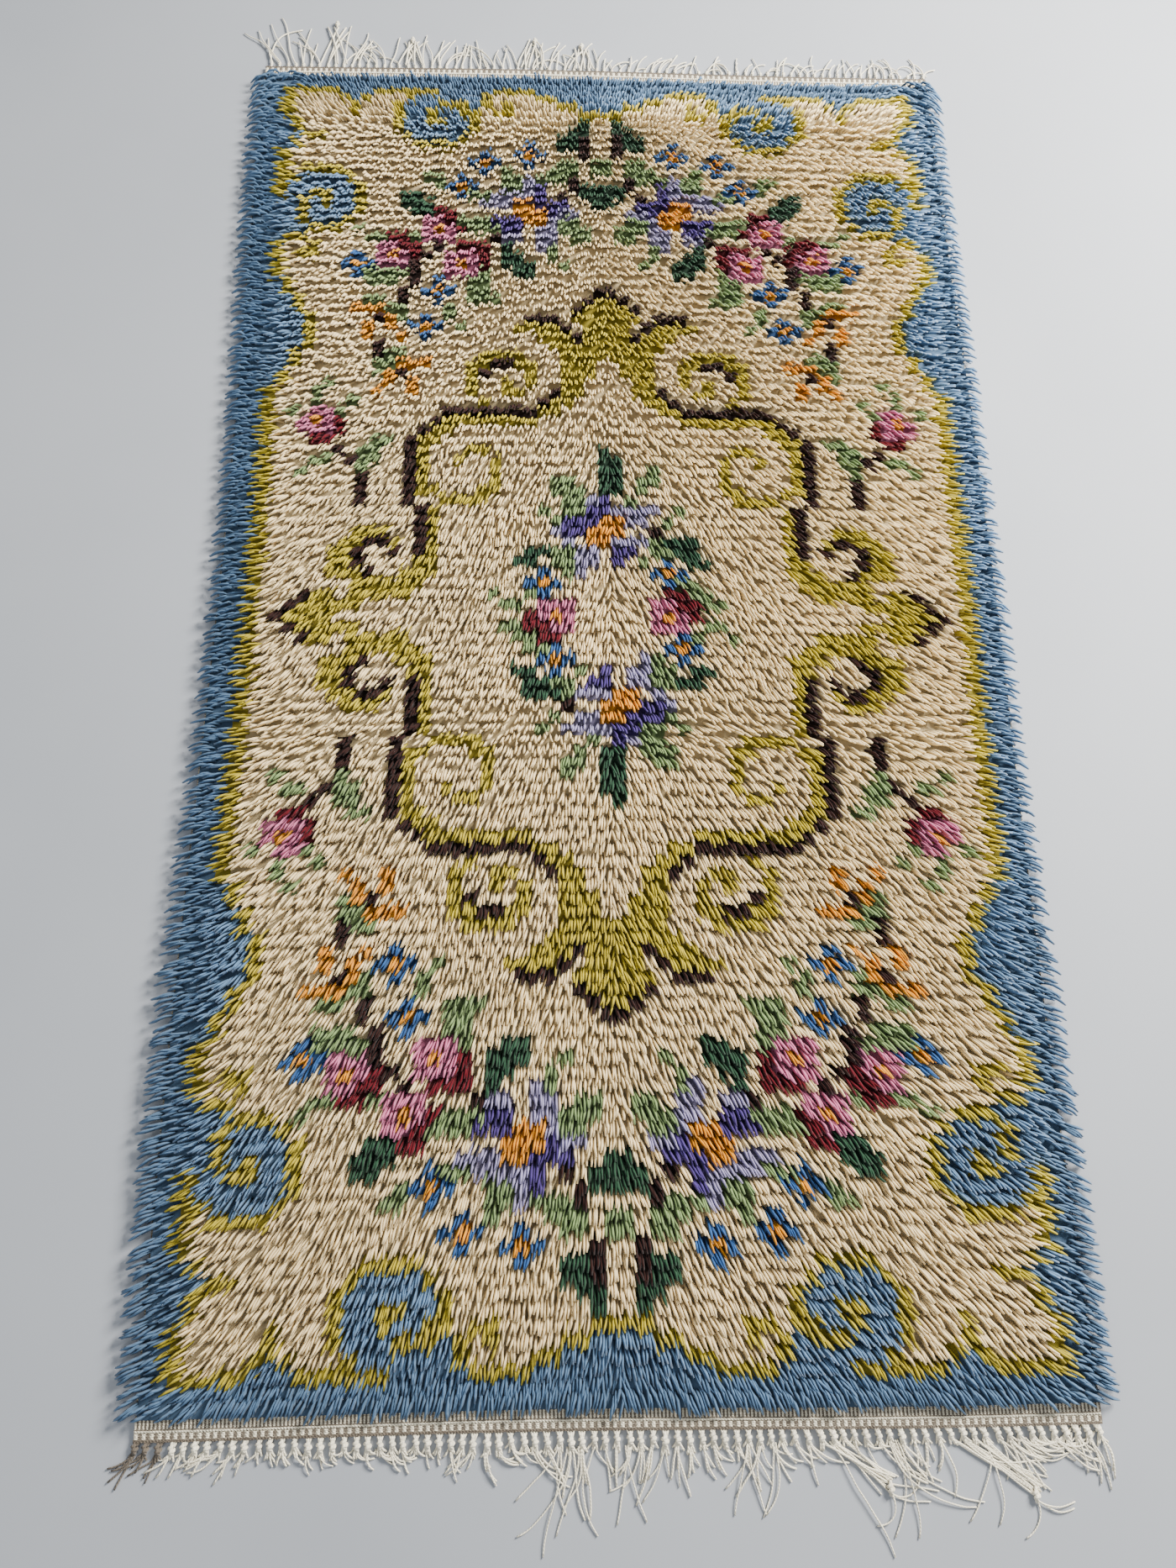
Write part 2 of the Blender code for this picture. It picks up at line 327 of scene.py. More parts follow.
def chart_wreath(chart):
    """The small wreath in the middle. It repeats by a half turn, not by mirroring."""
    chart.places = HALF_TURN
    for name, first_row, runs in (
        ("sage", -2, "9 7:2"),
        ("sage", -2, "6"),
        ("sage", 1, "7:2 6:2 5:2"),
        ("bottle", 5, "6:2 5:2 4:3"),
        ("sage", 5, "2 3:2 3"),
        ("brown", 8, "3"),
        ("sage", 9, "4 5"),
        ("sage", 11, "1 2 2:2 3"),
        ("sage", 10, "-4:2 -4:2 -5:3 -5:2"),
        ("sage", 9, "-5 -6"),
        ("sage", 4, "-4 -5:2 -5:2"),
        ("bottle", 5, "-8:2 -7:2"),
        ("brown", 7, "-4"),
        ("bottle", 12, "-1:2 -1:2 -1:2 -1:2 -1"),
    ):
        chart.rows(name, first_row, runs)
    chart.rose(4, 0, ((0, 2, 1), (1, 1, 2), (2, 0, 2)))
    chart.flower(4, 4)
    chart.flower(5, -3)
    chart.letters(WREATH_STAR, -1, 8)
    chart.places = QUARTERS


def draw_chart():
    """The whole rug's chart, border first."""
    chart = Chart()
    chart_outline(chart)
    chart.spread_border()
    chart_medallion(chart)
    chart_sprays(chart)
    chart_wreath(chart)
    return chart.yarn


# Materials

SHEEN_ROUGHNESS = 0.5
FIBRE_GLOSS = 0.25
BRIGHTEST = 0.95
# Pale white of the yarn tips: dust and painted light
DUST_AND_LIGHT_WHITE = 0.82
# Yarn noise per metre, round the yarn and along it
FIBRE_SCALE = (2600.0, 420.0, 1.0)
DARK_YARN, LIGHT_YARN = (0.74, 0.72, 0.70), (1.10, 1.10, 1.10)
DARK_FIBRE, LIGHT_FIBRE = (0.80, 0.79, 0.78), (1.06, 1.06, 1.06)
# Painted shade in the grooves of the cotton's twist
TWIST_GROOVE_SHADE = (0.72, 0.70, 0.66)
WHITE = (1.0, 1.0, 1.0)


def new_material(name, colour, roughness, sheen):
    """A Principled material with its constants on the shader's own sockets."""
    material = bpy.data.materials.new(name)
    material.use_nodes = True
    shader = material.node_tree.nodes["Principled BSDF"]
    shader.inputs["Base Color"].default_value = (*colour, 1.0)
    shader.inputs["Roughness"].default_value = roughness
    shader.inputs["Sheen Weight"].default_value = sheen
    shader.inputs["Sheen Roughness"].default_value = SHEEN_ROUGHNESS
    shader.inputs["Specular IOR Level"].default_value = FIBRE_GLOSS
    return material, shader


class Nodes:
    """Adds nodes to one material in short calls."""

    def __init__(self, material):
        self.tree = material.node_tree

    def add(self, kind, **values):
        node = self.tree.nodes.new(kind)
        for name, value in values.items():
            setattr(node, name, value)
        return node

    def link(self, source, target):
        self.tree.links.new(source, target)

    def attribute(self, name):
        return self.add("ShaderNodeAttribute", attribute_name=name).outputs["Fac"]

    def place(self):
        return self.add("ShaderNodeTexCoord").outputs["Object"]

    def yarn_uv(self):
        return self.add("ShaderNodeUVMap", uv_map="yarn").outputs["UV"]

    def noise(self, vector, scale, detail):
        node = self.add("ShaderNodeTexNoise")
        node.inputs["Scale"].default_value = scale
        node.inputs["Detail"].default_value = detail
        self.link(vector, node.inputs["Vector"])
        return node.outputs["Fac"]

    def bands(self, vector, direction, scale, distortion):
        node = self.add("ShaderNodeTexWave", wave_type="BANDS", bands_direction=direction)
        node.inputs["Scale"].default_value = scale
        node.inputs["Distortion"].default_value = distortion
        self.link(vector, node.inputs["Vector"])
        return node.outputs["Fac"]

    def ramp(self, factor, stops):
        node = self.add("ShaderNodeValToRGB")
        ramp = node.color_ramp
        while len(ramp.elements) < len(stops):
            ramp.elements.new(0.5)
        for element, (place, colour) in zip(ramp.elements, stops):
            element.position = place
            element.color = (*colour, 1.0)
        self.link(factor, node.inputs["Fac"])
        return node.outputs["Color"]

    def tinted(self, share, colour, tint):
        """A colour multiplied by a tint, at a share of its strength."""
        node = self.add("ShaderNodeMix", data_type="RGBA", blend_type="MULTIPLY")
        node.inputs[0].default_value = share
        self.link(colour, node.inputs[6])
        self.link(tint, node.inputs[7])
        return node.outputs[2]

    def product(self, first, second):
        node = self.add("ShaderNodeMath", operation="MULTIPLY")
        self.link(first, node.inputs[0])
        self.link(second, node.inputs[1])
        return node.outputs[0]

    def scaled(self, vector, scale):
        node = self.add("ShaderNodeMapping")
        node.inputs["Scale"].default_value = scale
        self.link(vector, node.inputs["Vector"])
        return node.outputs["Vector"]

    def bump(self, height, distance, strength, shader):
        node = self.add("ShaderNodeBump")
        node.inputs["Distance"].default_value = distance
        node.inputs["Strength"].default_value = strength
        self.link(height, node.inputs["Height"])
        self.link(node.outputs["Normal"], shader.inputs["Normal"])


def shade(colour, amount):
    """A colour made lighter (above 1) or darker (below 1)."""
    return tuple(min(channel * amount, BRIGHTEST) for channel in colour)


def paler(colour, share):
    """A colour moved part of the way to a pale, dusty white: the dust and painted light of the yarn
    tips.
    """
    return tuple(channel + (DUST_AND_LIGHT_WHITE - channel) * share for channel in colour)


def wool(name, colour):
    """Twisted wool yarn: darker toward the root as painted shade, paler at the cut tip from dust and
    painted light, fine fibres along it.
    """
    material, shader = new_material("wool_" + name, colour, 0.90, 0.04)
    # Paler share at the tip: a little dust on every yarn, and for blue mostly painted light in the cut
    # tips.
    dust_and_tip_light = 0.20 if name == "blue" else 0.04
    nodes = Nodes(material)
    reach = nodes.attribute("reach")
    tone = nodes.attribute("tone")
    # Colour along the yarn end: painted shade darkens it toward the root, and the tip turns paler with
    # dust and painted light.
    body = nodes.ramp(
        reach,
        (
            (0.0, shade(colour, 0.30)),
            (0.55, shade(colour, 0.72)),
            (0.86, colour),
            (1.0, paler(colour, dust_and_tip_light)),
        ),
    )
    yarn_tint = nodes.ramp(tone, ((0.0, DARK_YARN), (1.0, LIGHT_YARN)))
    varied = nodes.tinted(1.0, body, yarn_tint)
    fibres = nodes.noise(nodes.scaled(nodes.yarn_uv(), FIBRE_SCALE), 1.0, 3.0)
    fibre_tint = nodes.ramp(fibres, ((0.30, DARK_FIBRE), (0.70, LIGHT_FIBRE)))
    finished = nodes.tinted(1.0, varied, fibre_tint)
    nodes.link(finished, shader.inputs["Base Color"])
    nodes.bump(fibres, 0.00025, 0.55, shader)
    return material


def cotton(name, colour, dust_and_tip_light):
    """Plied cotton warp: cream, with a twist, painted shade in its twist grooves, and slight soiling.
    """
    material, shader = new_material(name, colour, 0.86, 0.15)
    nodes = Nodes(material)
    patches = nodes.noise(nodes.place(), 55.0, 3.0)
    soil = nodes.ramp(patches, ((0.34, shade(colour, dust_and_tip_light)), (0.62, colour)))
    # Painted shade darkens the grooves of the twist.
    twist = nodes.bands(nodes.yarn_uv(), "DIAGONAL", 260.0, 1.2)
    groove_shade = nodes.ramp(twist, ((0.0, TWIST_GROOVE_SHADE), (0.5, WHITE)))
    nodes.link(nodes.tinted(0.6, soil, groove_shade), shader.inputs["Base Color"])
    nodes.bump(twist, 0.0003, 0.7, shader)
    return material


def weave(name, colour, dark):
    """Flat cotton weave: weft ribs across the rug, crossed by the warps, with painted shade in the
    hollows between them.
    """
    material, shader = new_material(name, colour, 0.92, 0.10)
    nodes = Nodes(material)
    place = nodes.place()
    ribs = nodes.bands(place, "Y", 160.0, 0.8)
    warps = nodes.bands(place, "X", 112.0, 0.6)
    height = nodes.product(ribs, warps)
    # The low places between ribs and warps take the dark colour, a painted shade.
    nodes.link(nodes.ramp(height, ((0.0, dark), (0.45, colour))), shader.inputs["Base Color"])
    nodes.bump(height, 0.0006, 0.9, shader)
    return material


# Meshes from arrays

TINY = 1e-12


def mesh_object(name, points, faces_by_size, materials, indices=None, smooth_faces=True):
    """One mesh object from numpy points and lists of faces with the same corner count."""
    mesh = bpy.data.meshes.new(name)
    points = np.asarray(points, dtype=np.float32)
    mesh.vertices.add(len(points))
    mesh.vertices.foreach_set("co", points.ravel())
    corners = np.concatenate([faces.ravel() for faces in faces_by_size]).astype(np.int32)
    sizes = np.concatenate([np.full(len(faces), faces.shape[1]) for faces in faces_by_size])
    starts = np.concatenate(([0], np.cumsum(sizes)[:-1])).astype(np.int32)
    mesh.loops.add(len(corners))
    mesh.loops.foreach_set("vertex_index", corners)
    mesh.polygons.add(len(sizes))
    mesh.polygons.foreach_set("loop_start", starts)
    if indices is not None:
        mesh.polygons.foreach_set("material_index", np.asarray(indices, dtype=np.int32))
    for material in materials:
        mesh.materials.append(material)
    mesh.update(calc_edges=True)
    mesh.polygons.foreach_set("use_smooth", np.full(len(sizes), smooth_faces, dtype=bool))
    mesh.validate()
    piece = bpy.data.objects.new(name, mesh)
    bpy.context.scene.collection.objects.link(piece)
    return piece


def set_values(mesh, name, values):
    """A number for each vertex, read by the materials."""
    layer = mesh.attributes.new(name, "FLOAT", "POINT")
    layer.data.foreach_set("value", np.asarray(values, dtype=np.float32).ravel())


def set_uv(mesh, corner_uv):
    """The yarn map: round the yarn, then along it, in metres."""
    layer = mesh.uv_layers.new(name="yarn")
    layer.data.foreach_set("uv", np.asarray(corner_uv, dtype=np.float32).ravel())


def grid_quads(long, wide):
    """Corners of the quads of a grid of points, long by wide, stored row by row."""
    first = (np.arange(long - 1)[:, None] * wide + np.arange(wide - 1)[None, :]).ravel()
    return np.stack((first, first + 1, first + wide + 1, first + wide), axis=-1)


def sweep(centres, radii, side_hint, sides):
    """Tubes round many centre lines at once: (tubes, rings, 3) points to ring vertices."""
    tangents = np.gradient(centres, axis=1)
    tangents /= np.linalg.norm(tangents, axis=2, keepdims=True) + TINY
    across = side_hint - tangents * np.sum(side_hint * tangents, axis=2, keepdims=True)
    across /= np.linalg.norm(across, axis=2, keepdims=True) + TINY
    above = np.cross(tangents, across)
    turns = math.pi / 2 + 2 * math.pi * np.arange(sides) / sides
    ring = (
        np.cos(turns)[None, None, :, None] * across[:, :, None, :]
        + np.sin(turns)[None, None, :, None] * above[:, :, None, :]
    )
    return centres[:, :, None, :] + radii[:, :, None, None] * ring


def tube_faces(count, rings, sides, capped_start=False):
    """Side quads and end caps of many equal tubes."""
    base = (np.arange(count) * rings * sides)[:, None, None]
    ring = (np.arange(rings - 1) * sides)[None, :, None]
    here = np.arange(sides)[None, None, :]
    after = (here + 1) % sides
    low = base + ring
    high = low + sides
    quads = np.stack((low + here, low + after, high + after, high + here), axis=-1).reshape(-1, 4)
    starts = np.arange(count)[:, None] * rings * sides
    caps = starts + (rings - 1) * sides + np.arange(sides)[None, :]
    if capped_start:
        caps = np.concatenate((caps, starts + np.arange(sides)[None, ::-1]))
    return quads, caps


def tube_uv(count, rings, sides, along, offsets, girth, cap_count):
    """Corner UVs that match tube_faces."""
    low = np.arange(sides) / sides * girth
    high = low + girth / sides
    u = np.stack((low, high, high, low), axis=-1)
    u = u[None, None] + offsets[:, None, None, None]
    u = np.broadcast_to(u, (count, rings - 1, sides, 4))
    low, high = along[:, :-1], along[:, 1:]
    v = np.stack((low, low, high, high), axis=-1)[:, :, None, :]
    v = np.broadcast_to(v, (count, rings - 1, sides, 4))
    quads = np.stack((u, v), axis=-1).reshape(-1, 2)
    return np.concatenate((quads, np.zeros((cap_count, 2))))


# Pile

# Lean of the nap in degrees from straight to the front: in the middle, gained to the side, power
LEFT_NAP = (5, 36, 1.4)
RIGHT_NAP = (12, 34, 0.8)
# At the sides: in the middle row, and the turn for each row to the front
RIM_NAP = 84
LEFT_RIM_TURN, RIGHT_RIM_TURN = 0.34, 0.40
NAP_SWAY = 7
NAP_NOISE = 4.0
# How far a yarn end reaches over the ground, and what is left of it where the nap stands up
REACH = 0.0178
RIM_REACH = 0.0190
UPRIGHT_LOSS = 0.0070
ROOT_SHARE = 0.62
TOP_RISE = 0.0150
# Rows, counted to the front, of the fold's pressed rows: their middle and half width
FOLD_ROW, FOLD_ROWS = 10.5, 2.6
GOLDEN = 0.618034
PILE_FOOT = GROUND_THICK + 0.0006
END_INSET = 0.012
# The bed between the yarn ends: its foot, its height and the rise of its ridges
BED_FOOT = GROUND_THICK + 0.0008
BED_HEIGHT = 0.0072
BED_RIDGE = 0.0022


def tousle(x, y, phase):
    """Slow, even sway of the nap, between about -1 and 1."""
    return (
        np.sin(x * 31 + y * 17 + phase)
        + np.sin(x * 13 - y * 41 + 2.1 * phase)
        + np.sin(x * 67 + y * 9 + 3.7 * phase)
        + 0.8 * np.sin(y * 88 - x * 29 + phase)
    ) / 3.2


def strand_fields(x, y, chance):
    """How each yarn end lies where it shows: its move, droop, uprightness and fan at the sides."""
    across = x / (RUG_WIDTH / 2)
    size = np.abs(across)
    side = np.sign(across)
    rows_front = -y / ROW_PITCH
    left, right = (start + gain * size**power for start, gain, power in (LEFT_NAP, RIGHT_NAP))
    lean = np.where(across < 0, left, right)
    rim_side = smooth(0.82, 0.97, size)
    rim_lean = RIM_NAP - np.where(across < 0, LEFT_RIM_TURN, RIGHT_RIM_TURN) * rows_front
    lean = lean + (rim_lean - lean) * rim_side
    lean = lean + NAP_SWAY * tousle(x, y, 0.7) * (1 - 0.4 * rim_side)
    lean = lean + chance.normal(0.0, NAP_NOISE, x.shape)
    angle = np.radians(lean) * side
    back_edge = smooth(-50.0, -57.0, rows_front)
    front_edge = smooth(54.0, 58.5, rows_front)
    upright = smooth(-6.0, -26.0, rows_front)
    reach = REACH - UPRIGHT_LOSS * upright + 0.0018 * front_edge
    reach = reach + rim_side * (RIM_REACH - reach)
    reach = reach * (1 + 0.10 * tousle(x, y, 4.0) + chance.normal(0.0, 0.07, x.shape))
    forward = 1 - 2 * back_edge
    move_x = np.sin(angle) * reach
    move_y = -np.cos(angle) * reach * forward
    rim_end = np.maximum(smooth(55.0, 59.5, rows_front), smooth(-54.0, -59.0, rows_front))
    droop = np.maximum(0.9 * smooth(0.90, 1.0, size), 0.75 * rim_end)
    spread = smooth(35.0, 75.0, np.abs(lean))
    return move_x, move_y, droop, upright, spread


def strand_places():
    """Where each yarn end shows on the rug, and its knot in the chart."""
    rows = np.arange(ROWS)
    strands = (np.arange(STRANDS_ACROSS) + 0.5) / STRANDS_ACROSS
    share, row = np.meshgrid(strands, rows)
    column = np.minimum((share * COLUMNS).astype(int), COLUMNS - 1)
    x = (share - 0.5) * PILE_WIDTH
    y = (row - HALF_ROWS) * ROW_PITCH
    return x, y, row, column


def sides_swell(x, y):
    """The sides draw in at the middle and swell to the front corners."""
    rows_front = -y / ROW_PITCH
    swell = -0.0050 + 0.0105 * smooth(8.0, 46.0, rows_front)
    swell = swell + 0.0040 * smooth(8.0, 50.0, -rows_front)
    size = np.abs(x) / (PILE_WIDTH / 2)
    overhang = 0.0120 * smooth(0.90, 1.0, size)
    return np.sign(x) * (swell * size**2 + overhang)


def crease(y):
    """How far rows are pressed together where the rug was folded, and their shift."""
    rows_front = -y / ROW_PITCH
    band = np.exp(-(((rows_front - FOLD_ROW) / FOLD_ROWS) ** 2))
    return band, 0.0030 * band * np.sin(math.pi * rows_front)


def even_share(count):
    """Shares from 0 to 1 that fill the range evenly, in golden-ratio steps."""
    return np.modf(np.arange(count) * GOLDEN)[0]


def make_band(number, first_row, end_row, rings, yarn, materials):
    """The yarn ends of a band of rows, as one joined mesh."""
    chance = np.random.default_rng(SEED + number)
    x, y, row, column = strand_places()
    x, y, row, column = (part[first_row:end_row].ravel() for part in (x, y, row, column))
    kind = yarn[row, column]
    x = x + sides_swell(x, y) + chance.normal(0.0, 0.00035, x.shape)
    pressed, shift = crease(y)
    y = y + shift + chance.normal(0.0, 0.0023, x.shape)
    move_x, move_y, droop, upright, spread = strand_fields(x, y, chance)
    y = y + spread * ROW_PITCH * (even_share(len(x)) - 0.5)
    move_y = move_y * (1 - 0.45 * pressed)
    length = STRAND_LENGTH * chance.normal(1.0, 0.05, x.shape) - 0.0035 * upright
    flat_reach = np.hypot(move_x, move_y)
    rise = 0.90 * np.sqrt(np.maximum(length**2 - flat_reach**2, 1e-6))
    rise = np.minimum(rise, TOP_RISE) * (1 - 0.12 * pressed)
    last_row = RUG_LENGTH / 2 - END_INSET
    root_x = np.clip(x - ROOT_SHARE * move_x, -ROOT_LIMIT, ROOT_LIMIT)
    root_y = np.clip(y - ROOT_SHARE * move_y, -last_row, last_row)
    count = len(x)
    t = np.linspace(0.0, 1.0, rings)[None, :]
    forward = t**1.30
    stand = 1 - (1 - t) ** 1.9
    hang = np.sin(math.pi * t**0.85) * 0.0075 + 0.0004
    height = rise[:, None] * stand * (1 - droop[:, None]) + hang * droop[:, None]
    settle = -droop[:, None] * t**2 * 0.0012
    direction_x = move_x / (flat_reach + 1e-9)
    direction_y = move_y / (flat_reach + 1e-9)
    phase = chance.uniform(0, 2 * math.pi, count)[:, None]
    wave = chance.uniform(0.0004, 0.0011, count)[:, None] * np.sin(5.2 * t + phase) * t
    centres = np.empty((count, rings, 3))
    centres[:, :, 0] = root_x[:, None] + move_x[:, None] * forward - direction_y[:, None] * wave
    centres[:, :, 1] = root_y[:, None] + move_y[:, None] * forward + direction_x[:, None] * wave
    centres[:, :, 2] = PILE_FOOT + height + settle
    centres[:, :, 0], centres[:, :, 1] = lay(centres[:, :, 0], centres[:, :, 1])
    thickness = STRAND_RADIUS * chance.normal(1.0, 0.09, count)[:, None]
    taper = np.interp(t, (0.0, 0.5, 0.9, 1.0), (0.88, 1.04, 1.0, 0.62))
    hint = np.zeros((count, rings, 3))
    hint[:, :, 0] = -direction_y[:, None]
    hint[:, :, 1] = direction_x[:, None]
    points = sweep(centres, thickness * taper, hint, 3)
    quads, caps = tube_faces(count, rings, 3)
    indices = np.concatenate((np.repeat(kind, (rings - 1) * 3), kind))
    piece = mesh_object(f"pile_rows_{number}", points.reshape(-1, 3), [quads, caps], materials, indices)
    along = np.broadcast_to(t * STRAND_LENGTH, (count, rings)) + chance.uniform(0, 1, count)[:, None]
    offsets = chance.uniform(0.0, 1.0, count)
    set_uv(piece.data, tube_uv(count, rings, 3, along, offsets, 0.008, caps.size))
    # Reach runs from 0 at the root to 1 at the tip; the wool colour darkens toward the root with it as
    # painted shade.
    reach = np.broadcast_to(t[:, :, None], (count, rings, 3))
    set_values(piece.data, "reach", reach)
    patch = 0.5 + 0.16 * tousle(x, y, 9.0)
    tone = np.clip(patch + chance.normal(0.0, 0.20, count), 0, 1)
    set_values(piece.data, "tone", np.broadcast_to(tone[:, None, None], (count, rings, 3)))
    return piece


def make_bed(yarn, materials):
    """The dense lower half of the pile, a ridge for each row, seen only between yarn ends and coloured
    dark as painted shade in the depth of the pile.
    """
    chance = np.random.default_rng(SEED)
    columns = np.linspace(-0.5, 0.5, COLUMNS + 1) * PILE_WIDTH
    lines = (np.arange(2 * ROWS + 1) / 2 - ROWS / 2) * ROW_PITCH
    x, y = np.meshgrid(columns, lines)
    is_crest = (np.arange(2 * ROWS + 1) % 2 == 1)[:, None]
    size = np.abs(x) / (RUG_WIDTH / 2)
    height = BED_HEIGHT + BED_RIDGE * is_crest + chance.normal(0.0, 0.0004, x.shape)
    rim = np.minimum(smooth(1.0, 0.86, size), smooth(0.632, 0.600, np.abs(y)))
    height = BED_FOOT + (height - BED_RIDGE) * (0.30 + 0.70 * rim)
    x = np.clip(x + sides_swell(x, y) * 0.4, -ROOT_LIMIT, ROOT_LIMIT)
    x, y = lay(x, y)
    points = np.stack((x, y, height), axis=-1).reshape(-1, 3)
    quads = grid_quads(2 * ROWS + 1, COLUMNS + 1)
    kinds = np.repeat(yarn, 2, axis=0).ravel()
    piece = mesh_object("pile_bed", points, [quads], materials, kinds)
    # A low reach gives the bed the wool's painted root shade.
    set_values(piece.data, "reach", np.full(len(points), 0.12))
    set_values(piece.data, "tone", np.full(len(points), 0.4))
    set_uv(piece.data, points[quads.ravel()][:, :2])
    return piece


# Rows in a band, and the points along a yarn end in each: fewer at the back
BAND_ROWS = 20
BAND_RINGS = (5, 5, 5, 4, 4, 4)


def build_pile(yarn):
    """Every band of yarn ends and the bed under them."""
    materials = [wool(name, YARNS[name]) for name in YARN_NAMES]
    pieces = [make_bed(yarn, materials)]
    for number, (first, rings) in enumerate(zip(range(0, ROWS, BAND_ROWS), BAND_RINGS), start=1):
        last = min(first + BAND_ROWS, ROWS)
        pieces.append(make_band(number, first, last, rings, yarn, materials))
    return pieces, materials


# Ground and headings

# Underside of the cloth, clear of the knot backs on the floor
CLOTH_FOOT = 0.0008


def build_ground(yarn, wools, cloth):
    """The woven ground as a thin closed sheet, and the knot backs on its underside."""
    lines = np.linspace(-0.5, 0.5, 65) * RUG_LENGTH
    columns = np.linspace(-0.5, 0.5, 25) * RUG_WIDTH
    x, y = lay(*np.meshgrid(columns, lines))
    top = np.stack((x, y, np.full(x.shape, GROUND_THICK)), axis=-1).reshape(-1, 3)
    low = top - np.array((0.0, 0.0, GROUND_THICK - CLOTH_FOOT))
    wide, long = len(columns), len(lines)
    upper = grid_quads(long, wide)
    lower = upper[:, ::-1] + len(top)
    rim = [np.arange(wide), np.arange(1, long) * wide + wide - 1]
    rim += [np.arange(wide - 2, -1, -1) + (long - 1) * wide, np.arange(long - 2, 0, -1) * wide]
    rim = np.concatenate(rim)
    after = np.roll(rim, -1)
    walls = np.stack((rim + len(top), after + len(top), after, rim), axis=-1)
    ground = mesh_object(
        "ground", np.concatenate((top, low)), [upper, lower, walls], [cloth], smooth_faces=False
    )
    columns = np.linspace(-0.5, 0.5, COLUMNS + 1) * PILE_WIDTH
    lines = (np.arange(ROWS + 1) - ROWS / 2) * ROW_PITCH
    x, y = lay(*np.meshgrid(columns, lines))
    points = np.stack((x, y, np.zeros(x.shape)), axis=-1).reshape(-1, 3)
    quads = grid_quads(ROWS + 1, COLUMNS + 1)[:, [0, 3, 2, 1]]
    backs = mesh_object("knot_backs", points, [quads], wools, yarn.ravel())
    set_values(backs.data, "reach", np.full(len(points), 0.8))
    set_values(backs.data, "tone", np.full(len(points), 0.5))
    set_uv(backs.data, points[quads.ravel()][:, :2])
    return ground, backs


def stitch_mesh(name, stitches, materials):
    """Rounded stitches from (x, y, z, half length, half width, rise, turn, material) rows."""
    data = np.array(stitches, dtype=float)
    x, y, z, half, wide, rise, turn = data[:, :7].T
    corners = ((-1, -1, 0), (1, -1, 0), (1, 1, 0), (-1, 1, 0), (-0.55, 0, 1), (0.55, 0, 1))
    points = np.empty((len(data), 6, 3))
    for k, (a, b, up) in enumerate(corners):
        along, off = a * half, b * wide
        points[:, k, 0] = x + np.cos(turn) * along - np.sin(turn) * off
        points[:, k, 1] = y + np.sin(turn) * along + np.cos(turn) * off
        points[:, k, 2] = z + up * rise
    points[:, :, 0], points[:, :, 1] = lay(points[:, :, 0], points[:, :, 1])
    base = (np.arange(len(data)) * 6)[:, None]
    quads = np.concatenate((base + np.array([0, 1, 5, 4]), base + np.array([2, 3, 4, 5])))
    tris = np.concatenate((base + np.array([1, 2, 5]), base + np.array([3, 0, 4])))
    kinds = data[:, 7].astype(int)
    flat = points.reshape(-1, 3)
    piece = mesh_object(name, flat, [quads, tris], materials, np.tile(kinds, 4))
    corner = np.concatenate((quads.ravel(), tris.ravel()))
    set_uv(piece.data, flat[corner][:, :2])
    return piece


# Heading weave: across the rug, and inset from the cloth's end
CHECK_PITCH = 0.0056
STITCH_PITCH = 0.00125
OUTER_CHECKS = 0.0024
INNER_CHECKS = 0.0088
CORD_PITCH = 0.0022
# Lines of small stitches: inset, length, width, rise
CORD = (0.0068, 0.0030, 0.0012, 0.0013)
CORD_SHADOW = (0.0078, 0.0026, 0.0010, 0.0007)
FUZZ = (0.0012, 0.0032, 0.0012, 0.0009)
EDGE_FUZZ = (0.0004, 0.0030, 0.0011, 0.0010)


def heading(name, end, materials, chance):
    """Flat-woven band of one end: checks, a cream cord, checks and a fuzzy edge."""
    cream, dark = 0, 1
    stitches = []
    half = RUG_LENGTH / 2
    z = GROUND_THICK - 0.0002

    def put(x, inset, length, width, rise, turn, kind):
        y = end * (half - inset)
        stitches.append((x, y, z, length / 2, width / 2, rise, turn, kind))

    for k in range(int(RUG_WIDTH / CHECK_PITCH)):
        x = -RUG_WIDTH / 2 + CHECK_PITCH * (k + 0.5) + chance.uniform(-0.0002, 0.0002)
        for line in range(3):
            inset = OUTER_CHECKS + STITCH_PITCH * line
            put(x - 0.0013, inset, 0.0027, 0.00135, 0.0010, chance.uniform(-0.08, 0.08), cream)
            put(x + 0.0015, inset, 0.0030, 0.00130, 0.0007, chance.uniform(-0.08, 0.08), dark)
        for line in range(5):
            inset = INNER_CHECKS + STITCH_PITCH * line
            for middle in (x - CHECK_PITCH / 4, x + CHECK_PITCH / 4):
                put(middle - 0.0006, inset, 0.0015, 0.0013, 0.0010, 0.0, cream)
                put(middle + 0.0008, inset, 0.0015, 0.0013, 0.0007, 0.0, dark)
    for k in range(int(RUG_WIDTH / CORD_PITCH)):
        x = -RUG_WIDTH / 2 + CORD_PITCH * (k + 0.5)
        put(x, *CORD, 0.35 * end, cream)
        put(x, *CORD_SHADOW, -0.3 * end, dark)
        put(x, *FUZZ, chance.uniform(-0.3, 0.3), dark)
        put(x, *EDGE_FUZZ, chance.uniform(-0.5, 0.5), dark)
    return stitch_mesh(name, stitches, materials)


# Fringes

